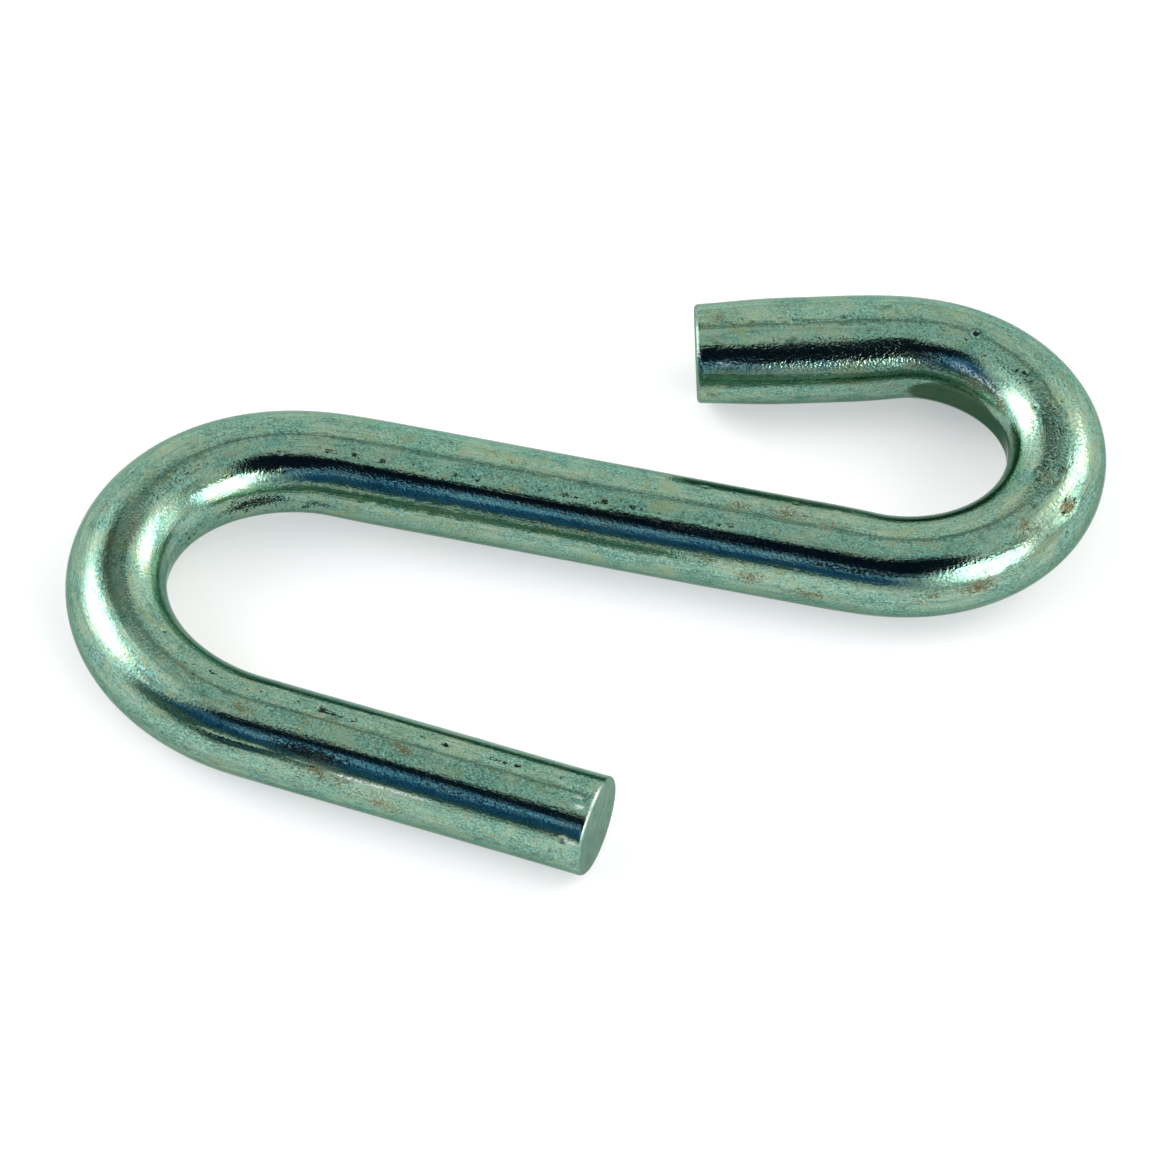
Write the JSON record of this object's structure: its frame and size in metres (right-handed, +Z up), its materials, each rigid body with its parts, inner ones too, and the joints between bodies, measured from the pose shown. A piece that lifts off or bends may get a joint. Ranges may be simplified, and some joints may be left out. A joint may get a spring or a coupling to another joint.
{
  "type": "s hook",
  "caption": "Round steel bar bent cold into an S: a wide hook with a long, slightly open leg at one end and a tighter hook with a short, closed-in leg at the other.",
  "frame": {"origin": "middle of the hook's box, on the surface that it lies on", "axes": "+X along the shank towards the small bend, +Y from the large bend's long leg towards the small bend's short leg, +Z up through the flat of the hook"},
  "size_m": [0.1052, 0.0762, 0.0111],
  "materials": {
    "zinc": "bright zinc plate with a green cast, drawn lines, pits and a few rust spots"
  },
  "bodies": {
    "root": {"s_hook": "zinc"}
  },
  "joints": []
}
